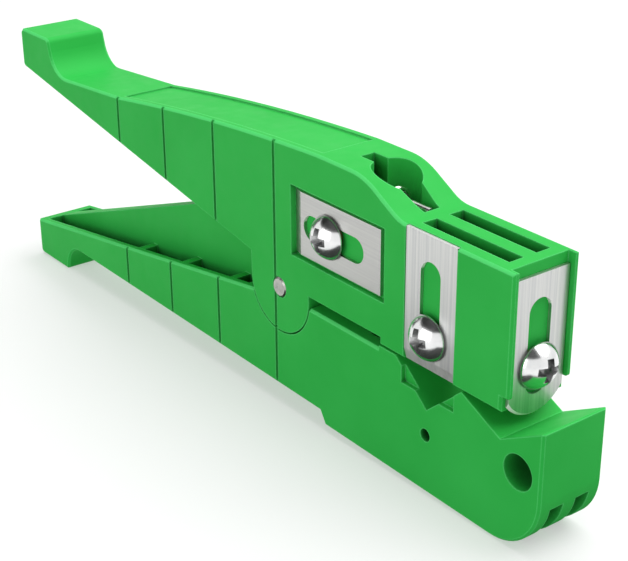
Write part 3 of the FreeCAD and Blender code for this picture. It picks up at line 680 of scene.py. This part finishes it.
def add_wedge(bm, along, across):
    """A block that narrows from its top, above the dome, to its bottom, inside the head."""
    sections = (
        (DOME_HEIGHT - RECESS_DEPTH, along * RECESS_FLOOR_REACH, across * RECESS_FLOOR_WIDTH),
        (DOME_HEIGHT + RECESS_ABOVE, along, across),
    )
    low, high = (
        [bm.verts.new((x * length, y * width, height)) for x, y in CORNER_SIGNS]
        for height, length, width in sections
    )
    bm.faces.new(low[::-1])
    bm.faces.new(high)
    for index in range(len(low)):
        after = (index + 1) % len(low)
        bm.faces.new((low[index], low[after], high[after], high[index]))


def mesh_from(bm, name):
    """A named mesh from a worked shape, which is freed."""
    mesh = bpy.data.meshes.new(name)
    bm.to_mesh(mesh)
    bm.free()
    return mesh


def cross_cutter():
    """Two crossed wedges, one for each pair of arms."""
    bm = bmesh.new()
    for along, across in ((RECESS_REACH, RECESS_HALF_WIDTH), (RECESS_HALF_WIDTH, RECESS_REACH)):
        add_wedge(bm, along, across)
    return mesh_from(bm, "cross_cutter")


print("recess", round(2 * RECESS_REACH / MM, 2), "mm across")

# %% Mesh helpers
WELD = 1e-7


def link_new(name, mesh):
    """A new object of a mesh, in the scene."""
    piece = bpy.data.objects.new(name, mesh)
    scene.collection.objects.link(piece)
    return piece


def turned(name, profile, sides):
    """A solid turned about Z from (radius, height) points that start and end on the axis."""
    bm = bmesh.new()
    verts = [bm.verts.new((radius, 0.0, height)) for radius, height in profile]
    edges = [bm.edges.new(pair) for pair in zip(verts, verts[1:])]
    bmesh.ops.spin(
        bm, geom=verts + edges, axis=(0, 0, 1), cent=(0, 0, 0), steps=sides, angle=math.tau)
    bmesh.ops.remove_doubles(bm, verts=bm.verts, dist=WELD)
    bmesh.ops.recalc_face_normals(bm, faces=bm.faces)
    return mesh_from(bm, name)


def evaluated_mesh(piece):
    """A plain mesh of a piece with its modifiers worked in."""
    graph = bpy.context.evaluated_depsgraph_get()
    return bpy.data.meshes.new_from_object(piece.evaluated_get(graph))


def shade_by_angle(mesh, degrees):
    """Smooth shading, with a crease where faces meet at more than an angle."""
    mesh.shade_smooth()
    mesh.set_sharp_from_angle(angle=math.radians(degrees))


print("mesh helpers ready")

# %% One pan-head screw
HEAD_SIDES = 48
HEAD_CREASE = 30.0

blank = link_new("screw_blank", turned("screw_blank", screw_profile(), HEAD_SIDES))
cutter = link_new("cross_cutter", cross_cutter())
cut = blank.modifiers.new("recess", "BOOLEAN")
cut.operation = "DIFFERENCE"
cut.solver = "EXACT"
cut.use_self = True
cut.object = cutter
screw_mesh = evaluated_mesh(blank)
shade_by_angle(screw_mesh, HEAD_CREASE)
bpy.data.objects.remove(blank)
bpy.data.objects.remove(cutter)
screw = link_new("screw_pattern", screw_mesh)
print("screw pattern:", len(screw_mesh.polygons), "faces")

# %% [markdown]
# A node tree that puts copies on points needs only the points and their angles, so the seats of
# the three screws become the points of a small mesh. Each screw was left at its own turn, as a
# hand leaves it. The copies are made real at the end, because a finished piece has to be a plain
# mesh.

# %% Node tree that sets screws


def new_tree(name, inputs):
    """An empty geometry tree with named inputs, and its two end nodes."""
    tree = bpy.data.node_groups.new(name, "GeometryNodeTree")
    for label, kind in inputs.items():
        tree.interface.new_socket(label, in_out="INPUT", socket_type="NodeSocket" + kind)
    tree.interface.new_socket("Geometry", in_out="OUTPUT", socket_type="NodeSocketGeometry")
    return tree, add_node(tree, "NodeGroupInput"), add_node(tree, "NodeGroupOutput")


def end_tree(tree, start, end, shape):
    """Make a shape real, give it the finish and hand it to the tree's output."""
    real = add_node(tree, "GeometryNodeRealizeInstances", {"Geometry": shape})
    painted = add_node(tree, "GeometryNodeSetMaterial", {
        "Geometry": real.outputs["Geometry"],
        "Material": start.outputs["Finish"],
    })
    feed(tree, end, {"Geometry": painted.outputs["Geometry"]})


def placing_tree():
    """Copies of one object at the points of a mesh, turned by each point's own angles."""
    tree, start, end = new_tree(
        "set_screws", {"Geometry": "Geometry", "Screw": "Object", "Finish": "Material"})
    pattern = add_node(tree, "GeometryNodeObjectInfo", {"Object": start.outputs["Screw"]})
    angles = add_node(
        tree, "GeometryNodeInputNamedAttribute", {"Name": "angles"}, data_type="FLOAT_VECTOR")
    to_turn = add_node(
        tree, "FunctionNodeEulerToRotation", {"Euler": angles.outputs["Attribute"]})
    copies = add_node(tree, "GeometryNodeInstanceOnPoints", {
        "Points": start.outputs["Geometry"],
        "Instance": pattern.outputs["Geometry"],
        "Rotation": to_turn.outputs["Rotation"],
    })
    end_tree(tree, start, end, copies.outputs["Instances"])
    return tree


def worked_by(tree, piece, values):
    """The plain mesh that a node tree makes from a piece, with its named inputs set."""
    modifier = piece.modifiers.new(tree.name, "NODES")
    modifier.node_group = tree
    for item in tree.interface.items_tree:
        if item.in_out == "INPUT" and item.name in values:
            modifier[item.identifier] = values[item.name]
    mesh = evaluated_mesh(piece)
    bpy.data.objects.remove(piece)
    return mesh


set_screws = placing_tree()
print("tree:", set_screws.name, "with", len(set_screws.nodes), "nodes")

# %% Set the three screws
# The axis of each screw, the side its head is on, its lean and its spin, in degrees.
SCREW_SEATS = {
    "ring_blade_screw": (1, -1, (90.0, 0.0, 0.0), 10.0),
    "spare_blade_screw": (1, -1, (90.0, 0.0, 0.0), 4.0),
    "slitting_blade_screw": (0, 1, (0.0, 90.0, 0.0), -8.0),
}


def head_seat(node_name, axis, toward):
    """Middle of a screw head's underside, from the box of its solid."""
    low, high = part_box(node_name)
    seat = (low + high) / 2
    seat[axis] = high[axis] - HEAD_HEIGHT if toward > 0 else low[axis] + HEAD_HEIGHT
    return seat


seat_mesh = bpy.data.meshes.new("screw_seats")
seat_points = [
    head_seat(name, axis, toward) for name, (axis, toward, lean, spin) in SCREW_SEATS.items()]
seat_mesh.from_pydata(seat_points, [], [])
seat_angles = seat_mesh.attributes.new("angles", "FLOAT_VECTOR", "POINT")
for index, (axis, toward, lean, spin) in enumerate(SCREW_SEATS.values()):
    leaning = Euler([math.radians(value) for value in lean]).to_matrix()
    spinning = Matrix.Rotation(math.radians(spin), 3, "Z")
    seat_angles.data[index].vector = (leaning @ spinning).to_euler()
seats = link_new("screw_seats", seat_mesh)
screws_mesh = worked_by(set_screws, seats, {"Screw": screw, "Finish": nickel})
bpy.data.objects.remove(screw)
blade_screws = link_new("blade_screws", screws_mesh)
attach(blade_screws, "upper")
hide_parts(*SCREW_SEATS)
print("blade screws:", len(screws_mesh.polygons), "faces")

# %% [markdown]
# The return spring is close wound, with a half loop at each end over its anchor pin. A curve drawn
# by hand would need hundreds of points, so a node tree winds a spiral, adds the two loops, and
# sweeps a round wire along them.

# %% Node tree that winds a spring
COIL_POINTS = 20
HOOK_POINTS = 24
# The lean of each hook in degrees, and whether it is at the top of the coil.
HOOK_LEANS = {"upper_hook": (90.0, True), "lower_hook": (-90.0, False)}
WIRE_SIDES = 10


def spring_tree():
    """A spiral with a half ring at each end, swept by a round wire."""
    tree, start, end = new_tree("wind_spring", {
        "Coil Radius": "Float",
        "Coil Height": "Float",
        "Wire Radius": "Float",
        "Turns": "Float",
        "Finish": "Material",
    })
    coil = add_node(tree, "GeometryNodeCurveSpiral", {
        "Resolution": COIL_POINTS,
        "Rotations": start.outputs["Turns"],
        "Start Radius": start.outputs["Coil Radius"],
        "End Radius": start.outputs["Coil Radius"],
        "Height": start.outputs["Coil Height"],
    })
    whole = add_node(tree, "GeometryNodeJoinGeometry", {"Geometry": coil.outputs["Curve"]})
    lift = add_node(tree, "ShaderNodeCombineXYZ", {"Z": start.outputs["Coil Height"]})
    for lean, raised in HOOK_LEANS.values():
        ring = add_node(tree, "GeometryNodeCurveArc", {
            "Resolution": HOOK_POINTS,
            "Sweep Angle": math.pi,
            "Radius": start.outputs["Coil Radius"],
        })
        stand = add_node(tree, "GeometryNodeTransform", {
            "Rotation": (math.radians(lean), 0.0, 0.0),
            "Geometry": ring.outputs["Curve"],
        })
        if raised:
            feed(tree, stand, {"Translation": lift.outputs["Vector"]})
        feed(tree, whole, {"Geometry": stand.outputs["Geometry"]})
    wire = add_node(tree, "GeometryNodeCurvePrimitiveCircle", {
        "Resolution": WIRE_SIDES,
        "Radius": start.outputs["Wire Radius"],
    })
    sweep = add_node(tree, "GeometryNodeCurveToMesh", {
        "Curve": whole.outputs["Geometry"],
        "Profile Curve": wire.outputs["Curve"],
        "Fill Caps": True,
    })
    end_tree(tree, start, end, sweep.outputs["Mesh"])
    return tree


wind_spring = spring_tree()
print("tree:", wind_spring.name, "with", len(wind_spring.nodes), "nodes")

# %% [markdown]
# The top of the spring goes with the upper body and its foot with the lower one. Riding on one of
# them would tear it off the other, so the wire is blended between them, and it stretches as the
# jaws open.

# %% Return spring
WIRE_RADIUS = 0.42 * MM
WIRE_CREASE = 60.0
COIL_TURNS = 26.0
spring_low, spring_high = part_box("return_spring")
spring_middle = (spring_low + spring_high) / 2
coil_radius = (spring_high.y - spring_low.y) / 2 - WIRE_RADIUS
coil_bottom = spring_low.z + WIRE_RADIUS + coil_radius
coil_top = spring_high.z - WIRE_RADIUS - coil_radius
coil_foot = Vector((spring_middle.x, spring_middle.y, coil_bottom))
# A quarter turn sets the hooks across the tool, square to their pins.
hooks_across = Matrix.Rotation(math.pi / 2, 4, "Z")

seed = link_new("spring_seed", bpy.data.meshes.new("spring_seed"))
spring_mesh = worked_by(wind_spring, seed, {
    "Coil Radius": coil_radius,
    "Coil Height": coil_top - coil_bottom,
    "Wire Radius": WIRE_RADIUS,
    "Turns": COIL_TURNS,
    "Finish": spring_steel,
})
spring_mesh.transform(Matrix.Translation(coil_foot) @ hooks_across)
shade_by_angle(spring_mesh, WIRE_CREASE)
wound_spring = link_new("wound_spring", spring_mesh)
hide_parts("return_spring")
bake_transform(wound_spring)
print("spring:", len(spring_mesh.polygons), "faces")
